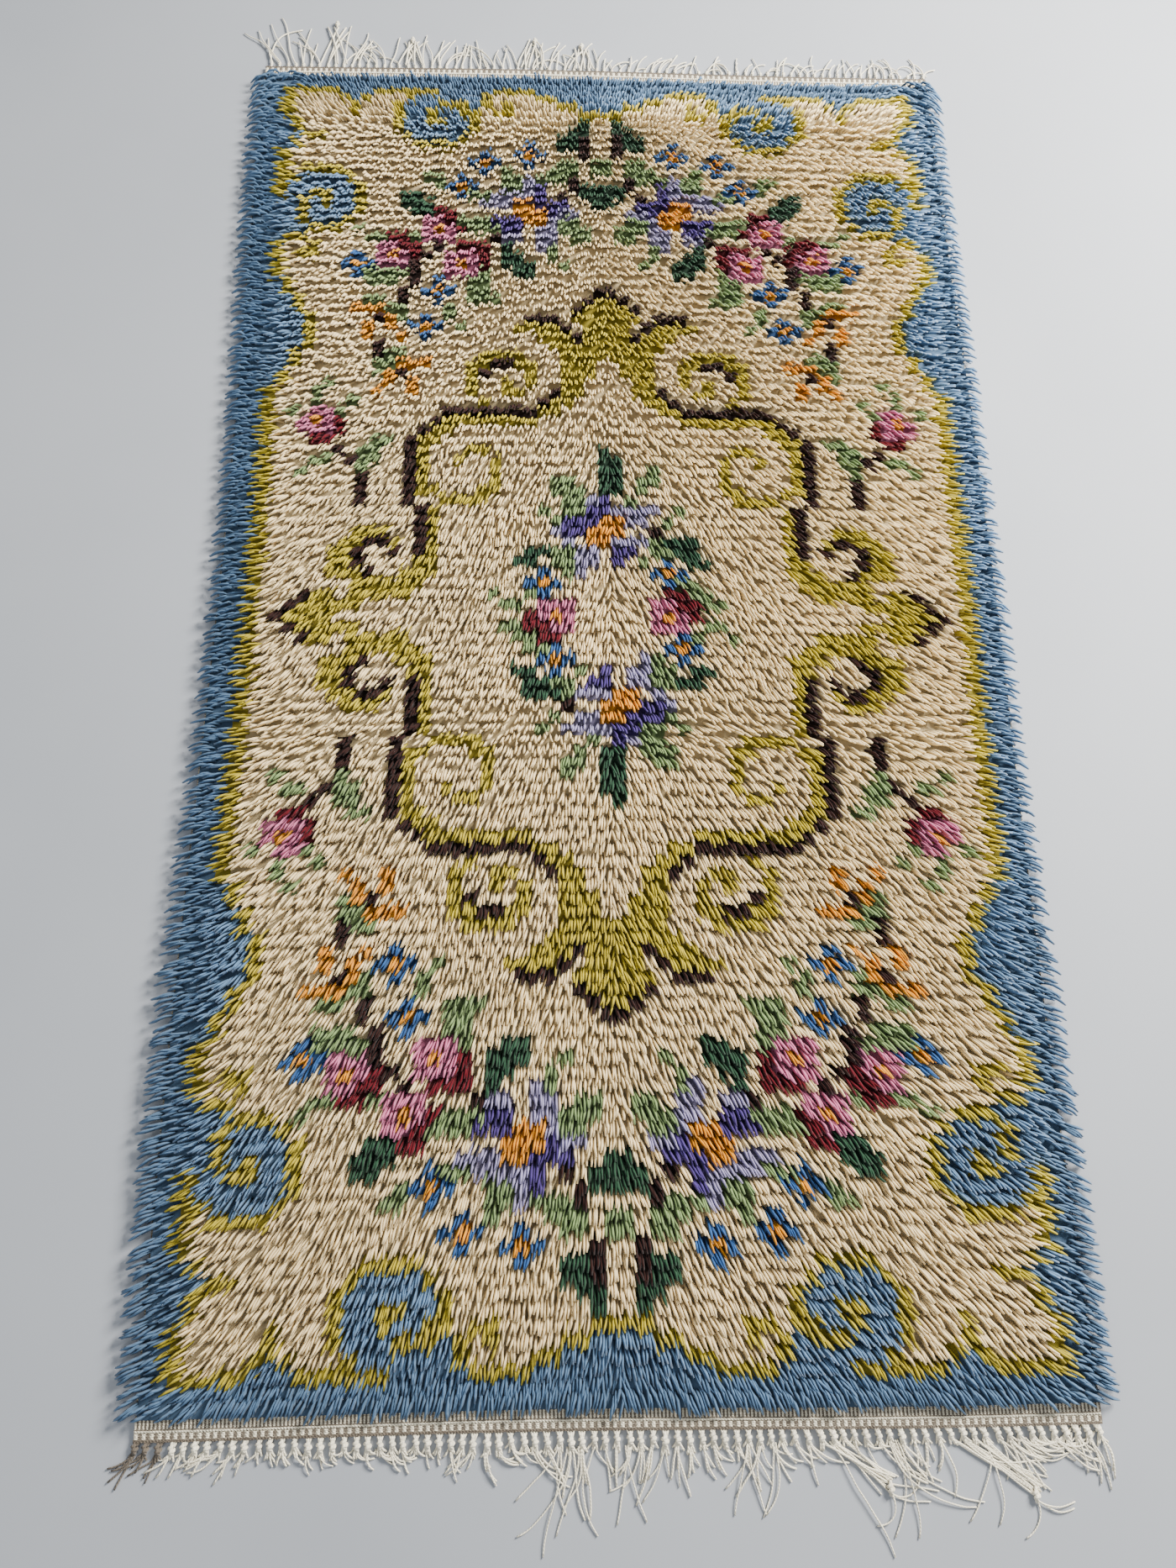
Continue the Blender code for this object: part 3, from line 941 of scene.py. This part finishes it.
class Threads:
    """Collects tubes that follow given points and joins them into one mesh."""

    def __init__(self, sides):
        self.sides = sides
        self.points = []
        self.quads = []
        self.caps = []
        self.quad_uv = []
        self.count = 0
        self.kinds_quads = []
        self.kinds_caps = []

    def add(self, path, radii, kind=0):
        """One tube along a path of (x, y, z) rows."""
        path = np.asarray(path, dtype=float)
        radii = np.broadcast_to(np.asarray(radii, dtype=float), (len(path),))
        hint = np.broadcast_to(np.array([0.03, 0.02, 1.0]), (1, len(path), 3))
        ring = sweep(path[None], radii[None], hint, self.sides)[0]
        quads, caps = tube_faces(1, len(path), self.sides, capped_start=True)
        steps = np.linalg.norm(np.diff(path, axis=0), axis=1)
        along = np.concatenate(([0.0], np.cumsum(steps)))[None]
        uv = tube_uv(1, len(path), self.sides, along, np.zeros(1), 0.004, 0)
        self.points.append(ring.reshape(-1, 3))
        self.quads.append(quads + self.count)
        self.caps.append(caps + self.count)
        self.quad_uv.append(uv)
        self.kinds_quads += [kind] * len(quads)
        self.kinds_caps += [kind] * len(caps)
        self.count += ring.shape[0] * ring.shape[1]

    def build(self, name, materials):
        quads, caps = np.concatenate(self.quads), np.concatenate(self.caps)
        kinds = self.kinds_quads + self.kinds_caps
        piece = mesh_object(name, np.concatenate(self.points), [quads, caps], materials, kinds)
        set_uv(piece.data, np.concatenate(self.quad_uv + [np.zeros((caps.size, 2))]))
        return piece


def wander(start, heading_angle, length, curl, chance, steps, radius, sway=0.55):
    """A loose thread on the floor: it turns steadily by curl, with a hand's random sway."""
    x, y, z = start
    step = length / steps
    angle = heading_angle
    drift = chance.uniform(-sway, sway)
    path = [(x, y, z)]
    lift = chance.uniform(0.0, 0.0016)
    for k in range(1, steps + 1):
        drift = 0.6 * drift + chance.uniform(-sway, sway) * 0.55
        angle += curl / steps + drift * 0.32
        x += math.cos(angle) * step
        y += math.sin(angle) * step
        share = k / steps
        z = radius + lift * math.sin(math.pi * share) + (start[2] - radius) * (1 - share) ** 4
        path.append((x, y, max(z, radius)))
    return path


def overhand_knot(threads, x, y, outward, size, kind, chance):
    """A tight knot: a yarn wound one and a half times round the group."""
    turns = 1.6
    steps = 15
    lean = chance.uniform(-0.25, 0.25)
    path = []
    for k in range(steps + 1):
        share = k / steps
        turn = 2 * math.pi * turns * share + lean
        swell = math.sin(math.pi * share) ** 0.5
        off = size * 0.27 * swell * math.cos(turn)
        up = size * 0.20 * swell * math.sin(turn)
        path.append((x + off, y + outward * size * (0.1 + share * 0.62), 0.0023 + up))
    threads.add(path, size * 0.165, kind)
    core = [(x, y - outward * 0.002, 0.0022), (x, y + outward * size * 0.5, 0.0030)]
    core.append((x, y + outward * size * 1.05, 0.0018))
    threads.add(core, np.array((0.14, 0.20, 0.17)) * size, kind)


FRONT_GROUPS = 82
# Front tails by place along X: longest tail, its lean (0 straight out), curl, threads
FRONT_TAILS = (
    (-0.345, 0.024, -0.75, -0.6, 4),
    (-0.310, 0.022, -0.55, -0.4, 4),
    (-0.285, 0.026, -0.60, -0.8, 5),
    (-0.255, 0.011, -0.20, 0.6, 3),
    (-0.225, 0.015, -0.10, 1.2, 3),
    (-0.195, 0.015, 0.00, 2.6, 4),
    (-0.165, 0.017, 0.05, 2.0, 4),
    (-0.135, 0.012, -0.10, 0.8, 3),
    (-0.110, 0.030, -0.35, -0.8, 4),
    (-0.085, 0.016, 0.10, 2.2, 4),
    (-0.060, 0.032, 0.18, 0.7, 3),
    (-0.040, 0.058, 0.05, -0.3, 4),
    (-0.020, 0.030, 0.00, 0.4, 3),
    (0.005, 0.042, 0.05, -0.4, 4),
    (0.030, 0.038, -0.15, -0.5, 4),
    (0.055, 0.030, 0.15, 0.4, 4),
    (0.075, 0.015, 0.10, 0.8, 3),
    (0.095, 0.044, 0.00, 0.3, 4),
    (0.120, 0.020, 0.10, 1.0, 3),
    (0.145, 0.045, 0.75, -0.5, 5),
    (0.165, 0.018, 0.30, 0.8, 3),
    (0.190, 0.046, 0.30, 1.4, 4),
    (0.215, 0.028, 0.40, -0.7, 4),
    (0.240, 0.050, 0.80, -0.5, 5),
    (0.270, 0.046, 0.80, -0.4, 5),
    (0.300, 0.040, 0.60, 2.2, 5),
    (0.345, 0.034, 0.70, -0.6, 4),
)
# Long ends that stand out: (x, length, lean, curl)
FRONT_LONG = (
    (-0.040, 0.071, 0.02, -0.35),
    (-0.032, 0.059, 0.12, 0.3),
    (-0.066, 0.038, 0.35, 0.8),
    (0.002, 0.051, 0.05, -0.4),
    (0.090, 0.047, -0.05, 0.3),
    (0.109, 0.049, 0.08, -0.3),
    (0.150, 0.085, 0.85, -0.5),
    (0.193, 0.080, 0.30, 1.5),
    (0.198, 0.064, 0.45, -1.2),
    (0.247, 0.070, 0.80, 0.6),
    (0.262, 0.058, 0.75, -1.2),
    (0.292, 0.052, 0.55, 1.9),
)
# Groups drawn into one clump: first x, last x, where they meet (x, distance out)
FRONT_CLUMPS = (
    (0.137, 0.160, 0.191, 0.036),
    (0.232, 0.262, 0.296, 0.042),
)

BACK_GROUPS = 84
# Back strings, as in the front table
BACK_TAILS = (
    (-0.350, 0.060, -0.35, 0.2, 2),
    (-0.318, 0.064, -0.22, 0.3, 2),
    (-0.300, 0.042, -0.05, 0.8, 2),
    (-0.275, 0.056, 0.10, -0.4, 2),
    (-0.245, 0.042, 0.05, 1.0, 2),
    (-0.205, 0.042, -0.25, 1.2, 2),
    (-0.160, 0.038, 0.10, -1.2, 2),
    (-0.110, 0.040, -0.30, 1.2, 2),
    (-0.070, 0.042, 0.15, -1.0, 2),
    (-0.020, 0.038, 0.10, 1.3, 2),
    (0.020, 0.022, 0.10, -1.6, 2),
    (0.080, 0.028, 0.30, -1.2, 2),
    (0.130, 0.022, -0.10, 1.8, 2),
    (0.175, 0.024, 0.20, -2.2, 2),
    (0.225, 0.028, 0.25, 3.2, 2),
    (0.275, 0.022, 0.15, -2.4, 2),
    (0.315, 0.029, 0.35, 3.0, 2),
    (0.350, 0.028, 0.40, 2.4, 2),
)
# Knots that join a few back strings: (x, distance out)
BACK_KNOTS = ((-0.281, 0.058), (-0.200, 0.038), (-0.070, 0.040), (-0.020, 0.034))


def read_table(table, x):
    """The table's values at x, straight between its rows."""
    places = [line[0] for line in table]
    return [float(np.interp(x, places, [line[k] for line in table])) for k in range(1, len(table[0]))]


def out_angle(outward, lean):
    """Heading in the floor plane of a tail that leans sideways by lean."""
    return math.atan2(outward, lean)


def front_fringe(materials):
    """Knotted warp groups at the front, with thin loose threads."""
    chance = random.Random(f"front {SEED}")
    knots, tails = Threads(6), Threads(4)
    pitch = RUG_WIDTH / FRONT_GROUPS
    edge = -RUG_LENGTH / 2
    for k in range(FRONT_GROUPS):
        x = -RUG_WIDTH / 2 + pitch * (k + 0.5) + chance.uniform(-0.0008, 0.0008)
        length, lean, curl, count = read_table(FRONT_TAILS, x)
        clump = next((c for c in FRONT_CLUMPS if c[0] <= x <= c[1]), None)
        grey = 1 if x < -0.325 else 0
        size = chance.uniform(0.0062, 0.0080)
        start = edge - chance.uniform(0.0012, 0.0030)
        shift = lean * 0.004
        for step in (-1, 0, 1):
            neck = [(x + step * 0.0022, edge + 0.0015, 0.0022)]
            neck.append((x + step * 0.0008 + shift * 0.3, start, 0.0026))
            neck.append((x + shift, start - size * 0.4, 0.0026))
            tails.add(neck, 0.00085, grey)
        overhand_knot(knots, x + shift, start, -1, size, grey, chance)
        end = (x + shift, start - size * 0.95, 0.0020)
        for step in (-1.0, -0.4, 0.4, 1.0):
            begin = (end[0] + step * 0.0010, end[1] + 0.0015, 0.0018)
            aim = out_angle(-1, lean * 0.5 + step * 0.35)
            stub = wander(begin, aim, chance.uniform(0.0045, 0.0080), 0.0, chance, 4, 0.0007, 0.8)
            tails.add(stub, 0.00075, grey)
        for _ in range(int(round(count)) - 1 + chance.choice((0, 0, 1))):
            radius = chance.uniform(0.00052, 0.00078)
            reach = length * chance.uniform(0.45, 1.08)
            spread = lean + chance.uniform(-0.30, 0.30)
            if clump:
                aim_x = clump[2] - x + chance.uniform(-0.003, 0.003)
                aim_y = clump[3] - (edge - end[1]) + chance.uniform(-0.003, 0.003)
                reach = math.hypot(aim_x, aim_y)
                spread = aim_x / max(aim_y, 0.001)
            begin = (end[0] + chance.uniform(-0.001, 0.001), end[1], 0.0016)
            bend = curl * chance.uniform(0.4, 1.3) if not clump else chance.uniform(-0.2, 0.2)
            steps = max(6, int(reach / 0.0032))
            sway = 0.10 if clump else 0.55
            path = wander(begin, out_angle(-1, spread), reach, bend, chance, steps, radius, sway)
            tails.add(path, radius, grey)
    for x, length, lean, curl in FRONT_LONG:
        for step in (-1, 1):
            radius = 0.00058
            begin = (x + step * 0.0008, edge - 0.009, 0.0016)
            steps = int(length / 0.0036)
            aim = out_angle(-1, lean + step * 0.05)
            path = wander(begin, aim, length, curl, chance, steps, radius, 0.40)
            tails.add(path, radius)
    for first, last, meet_x, meet_out in FRONT_CLUMPS:
        overhand_knot(knots, meet_x, edge - meet_out, -1, 0.0078, 0, chance)
        for bend in (-1.6, 0.4, 1.9):
            begin = (meet_x, edge - meet_out - 0.006, 0.0016)
            path = wander(begin, out_angle(-1, 0.8), 0.030, bend, chance, 10, 0.0006)
            tails.add(path, 0.0006)
    return knots.build("fringe_front_knots", materials), tails.build("fringe_front_threads", materials)


def back_fringe(materials):
    """Plied strings at the back, each from a small knot, some in curls and bunches."""
    chance = random.Random(f"back {SEED}")
    knots, tails = Threads(6), Threads(5)
    pitch = RUG_WIDTH / BACK_GROUPS
    edge = RUG_LENGTH / 2
    for k in range(BACK_GROUPS):
        x = -RUG_WIDTH / 2 + pitch * (k + 0.5) + chance.uniform(-0.0008, 0.0008)
        length, lean, curl, count = read_table(BACK_TAILS, x)
        size = chance.uniform(0.0042, 0.0054)
        start = edge + chance.uniform(0.0002, 0.0016)
        overhand_knot(knots, x, start, 1, size, 0, chance)
        neck = [(x, edge - 0.0015, 0.0020), (x, start + size * 0.5, 0.0024)]
        tails.add(neck, 0.0011)
        for _ in range(int(round(count)) + chance.choice((-1, 0, 0))):
            radius = chance.uniform(0.00070, 0.00095)
            reach = length * chance.uniform(0.55, 1.10)
            spread = lean + chance.uniform(-0.25, 0.25)
            begin = (x + chance.uniform(-0.001, 0.001), start + size * 0.8, 0.0018)
            bend = curl * chance.uniform(0.3, 1.3) * chance.choice((1, 1, -0.6))
            steps = max(7, int(reach / 0.0034))
            path = wander(begin, out_angle(1, spread), reach, bend, chance, steps, radius, 0.5)
            tails.add(path, np.linspace(radius, radius * 0.75, len(path)))
    for x, out in BACK_KNOTS:
        overhand_knot(knots, x, edge + out, 1, 0.0066, 0, chance)
        for step in (-0.009, -0.004, 0.002, 0.008):
            begin = (x + step * 1.6, edge + 0.006, 0.0018)
            aim = out_angle(1, -step * 1.6 / out)
            path = wander(begin, aim, out - 0.004, chance.uniform(-0.3, 0.3), chance, 9, 0.0009, 0.12)
            tails.add(path, 0.0009)
    return knots.build("fringe_back_knots", materials), tails.build("fringe_back_strings", materials)


# Stage

def build_floor():
    """A plain pale floor, not part of the rug."""
    mesh = bpy.data.meshes.new("floor")
    far, under = 6.0, -0.0004
    corners = [(-far, -far, under), (far, -far, under), (far, far, under), (-far, far, under)]
    mesh.from_pydata(corners, [], [(0, 1, 2, 3)])
    material, shader = new_material("floor_paint", (0.30, 0.32, 0.35), 0.75, 0.0)
    nodes = Nodes(material)
    patches = nodes.noise(nodes.place(), 3.0, 4.0)
    tint = nodes.ramp(patches, ((0.30, (0.29, 0.31, 0.34)), (0.70, (0.32, 0.34, 0.37))))
    nodes.link(tint, shader.inputs["Base Color"])
    mesh.materials.append(material)
    floor = bpy.data.objects.new("floor", mesh)
    bpy.context.scene.collection.objects.link(floor)


def add_light(name, place, aim, size, power, colour):
    """A soft rectangular light that faces a point of the rug."""
    data = bpy.data.lights.new(name, "AREA")
    data.shape = "RECTANGLE"
    data.size, data.size_y = size
    data.energy = power
    data.color = colour
    light = bpy.data.objects.new(name, data)
    light.location = place
    direction = Vector(aim) - Vector(place)
    light.rotation_euler = direction.to_track_quat("-Z", "Y").to_euler()
    bpy.context.scene.collection.objects.link(light)


def build_light():
    """Soft studio light: a large key from the back right, a weak fill and an even sky."""
    add_light("key", (1.35, 0.75, 1.15), (0.0, 0.0, 0.0), (0.7, 0.7), 185.0, (1.0, 0.96, 0.90))
    add_light("fill", (-1.0, -1.4, 2.4), (0.0, 0.0, 0.0), (2.4, 2.4), 26.0, (0.97, 0.98, 1.0))
    world = bpy.data.worlds.new("studio")
    world.use_nodes = True
    sky = world.node_tree.nodes["Background"]
    sky.inputs["Color"].default_value = (0.90, 0.94, 1.0, 1.0)
    sky.inputs["Strength"].default_value = 0.50
    bpy.context.scene.world = world


# Camera, solved from the corners of the woven ground in the photograph
CAMERA_PLACE = Vector((-0.052, -0.434, 0.911))
CAMERA_LOOK = Vector((0.0325, 0.2975, -0.9542))
PHOTO_FOCAL_PIXELS = 1332
PHOTO_LONG_SIDE = 1866
SENSOR = 36.0


def build_camera():
    """The photograph's camera: high over the front end, looking down and along the rug."""
    data = bpy.data.cameras.new("camera")
    data.sensor_width = SENSOR
    data.lens = PHOTO_FOCAL_PIXELS / PHOTO_LONG_SIDE * SENSOR
    data.clip_start = 0.05
    camera = bpy.data.objects.new("camera", data)
    back = -CAMERA_LOOK.normalized()
    across = Vector((1, 0, 0))
    right = (across - back * across.dot(back)).normalized()
    basis = Matrix((right, back.cross(right), back)).transposed()
    camera.matrix_world = Matrix.Translation(CAMERA_PLACE) @ basis.to_4x4()
    bpy.context.scene.collection.objects.link(camera)
    bpy.context.scene.camera = camera


def build_rug():
    """All of the rug's pieces, each riding on the one body."""
    yarn = draw_chart()
    pile, wools = build_pile(yarn)
    cloth = weave("cotton_weave", srgb(205, 196, 172), srgb(96, 88, 76))
    ground, backs = build_ground(yarn, wools, cloth)
    cream = cotton("cotton_cream", srgb(238, 231, 208), 0.80)
    grey = cotton("cotton_grey_brown", srgb(104, 95, 84), 0.75)
    chance = random.Random(SEED)
    headings = [
        heading("heading_front", -1, [cream, grey], chance),
        heading("heading_back", 1, [cream, grey], chance),
    ]
    front = front_fringe([cream, grey])
    back = back_fringe([cream, grey])
    for piece in (*pile, backs, ground, *headings, *front, *back):
        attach(piece, "root")
    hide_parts("ground_weave")
    for piece in pile:
        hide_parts("pile")
    for piece in front:
        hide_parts("fringe_front")
    for piece in back:
        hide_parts("fringe_back")


build_camera()
build_light()
build_floor()
build_rug()
